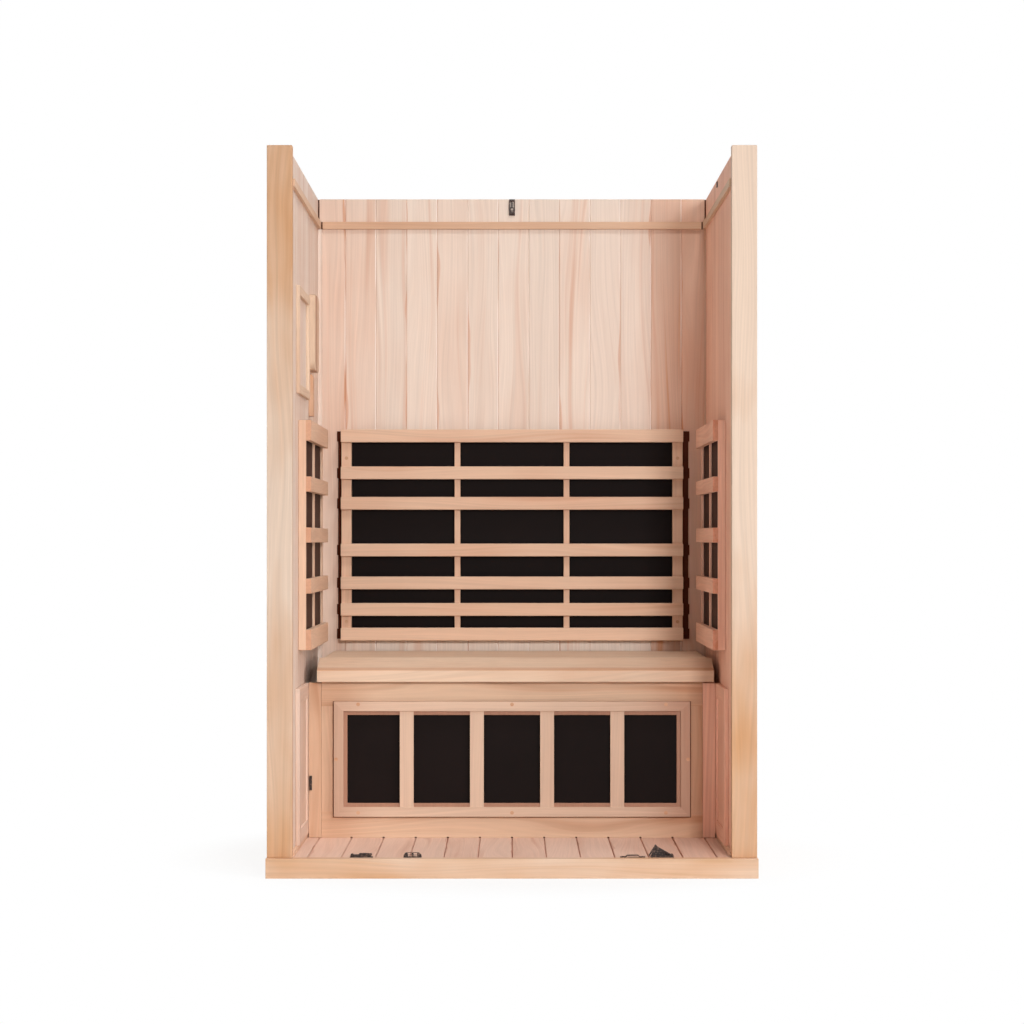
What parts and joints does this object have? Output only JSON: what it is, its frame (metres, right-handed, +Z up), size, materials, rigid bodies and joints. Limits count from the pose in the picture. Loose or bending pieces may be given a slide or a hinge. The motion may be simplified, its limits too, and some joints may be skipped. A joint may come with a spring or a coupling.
{
  "type": "infrared sauna cabin",
  "caption": "Open wooden infrared sauna cabin: grooved floor, boarded side and back walls, bench, black heater panels behind wooden grilles, and draw latches that pull panels together.",
  "frame": {"origin": "bottom centre of the floor, where the cabin stands", "axes": "+Z up, the open front faces -Y, +X to the right of someone who looks in"},
  "size_m": [1.2, 1.05, 1.788],
  "materials": {
    "wall_boards": "pale softwood boards, bare and finely sanded",
    "frame_wood": "pale softwood with straight grain, bare",
    "floor_wood": "pale pinkish softwood boards, bare",
    "bench_wood": "warm softwood with soft streaks, sanded",
    "grille_wood": "pale softwood strips with eased edges",
    "heater_panel": "black heater panel with a faint fine texture",
    "latch_steel": "black coated steel, half gloss"
  },
  "bodies": {
    "cabin": {"floor_front_rail": "floor_wood", "floor_back_rail": "floor_wood", "floor_left_rail": "floor_wood", "floor_right_rail": "floor_wood", "floor_bearer": "floor_wood", "floor_deck": "floor_wood", "left_front_stile": "frame_wood", "left_wall_core": "frame_wood", "left_roof_batten": "frame_wood", "left_inner_boards": "wall_boards", "left_outer_boards": "wall_boards", "right_front_stile": "frame_wood", "right_wall_core": "frame_wood", "right_roof_batten": "frame_wood", "right_inner_boards": "wall_boards", "right_outer_boards": "wall_boards", "back_wall_core": "frame_wood", "back_roof_batten": "frame_wood", "back_inner_boards": "wall_boards", "back_outer_boards": "wall_boards", "bench_back_cleat": "bench_wood", "skirt_frame": "bench_wood", "left_end_post": "bench_wood", "right_end_post": "bench_wood", "left_low_panel": "bench_wood", "right_low_panel": "bench_wood", "calf_heater_frame": "bench_wood", "calf_heater_element": "heater_panel", "back_heater_element": "heater_panel", "left_heater_element": "heater_panel", "right_heater_element": "heater_panel", "back_heater_left_stile": "grille_wood", "back_heater_right_stile": "grille_wood", "back_heater_left_muntin": "grille_wood", "back_heater_right_muntin": "grille_wood", "back_heater_slat_1": "grille_wood", "back_heater_slat_2": "grille_wood", "back_heater_slat_3": "grille_wood", "back_heater_slat_4": "grille_wood", "back_heater_slat_5": "grille_wood", "back_heater_slat_6": "grille_wood", "back_heater_slat_7": "grille_wood", "left_heater_grille": "grille_wood", "right_heater_grille": "grille_wood", "left_trim_frame": "grille_wood", "left_vent_block": "grille_wood", "left_sensor_cover": "grille_wood", "floor_latch_left_base": "latch_steel", "floor_latch_right_base": "latch_steel", "back_latch_base": "latch_steel", "floor_keeper_left": "latch_steel", "floor_keeper_right": "latch_steel"},
    "bench": {"bench_seat": "bench_wood", "bench_nosing": "bench_wood"},
    "floor_latch_left_lever": {"floor_latch_left_lever": "latch_steel"},
    "floor_latch_left_loop": {"floor_latch_left_loop": "latch_steel"},
    "floor_latch_right_lever": {"floor_latch_right_lever": "latch_steel"},
    "floor_latch_right_loop": {"floor_latch_right_loop": "latch_steel"},
    "back_latch_lever": {"back_latch_lever": "latch_steel"},
    "back_latch_loop": {"back_latch_loop": "latch_steel"}
  },
  "joints": [
    {"name": "bench_slide", "type": "slide", "parent": "cabin", "child": "bench", "axis": [0, -1, 0], "range_m": [0, 0.4]},
    {"name": "floor_latch_left_lever_hinge", "type": "hinge", "parent": "cabin", "child": "floor_latch_left_lever", "pos_m": [-0.391, -0.489, 0.0529], "axis": [0, -1, 0], "range_deg": [0, 60]},
    {"name": "floor_latch_left_loop_hinge", "type": "hinge", "parent": "floor_latch_left_lever", "child": "floor_latch_left_loop", "pos_m": [-0.34506, -0.489, 0.05531], "axis": [0, -1, 0], "range_deg": [-165, 0]},
    {"name": "floor_latch_right_lever_hinge", "type": "hinge", "parent": "cabin", "child": "floor_latch_right_lever", "pos_m": [0.391, -0.489, 0.0529], "axis": [0, 1, 0], "range_deg": [-27, 20]},
    {"name": "floor_latch_right_loop_hinge", "type": "hinge", "parent": "floor_latch_right_lever", "child": "floor_latch_right_loop", "pos_m": [0.35116, -0.489, 0.0759], "axis": [0, 1, 0], "range_deg": [-60, 81]},
    {"name": "back_latch_lever_hinge", "type": "hinge", "parent": "cabin", "child": "back_latch_lever", "pos_m": [0, 0.4641, 1.733], "axis": [1, 0, 0], "range_deg": [0, 60]},
    {"name": "back_latch_loop_hinge", "type": "hinge", "parent": "back_latch_lever", "child": "back_latch_loop", "pos_m": [0, 0.46222, 1.76895], "axis": [1, 0, 0], "range_deg": [-165, 0]}
  ],
  "couplings": [
    {"joint": "floor_latch_right_loop_hinge", "follows": "floor_latch_right_lever_hinge", "ratio": -3}
  ]
}
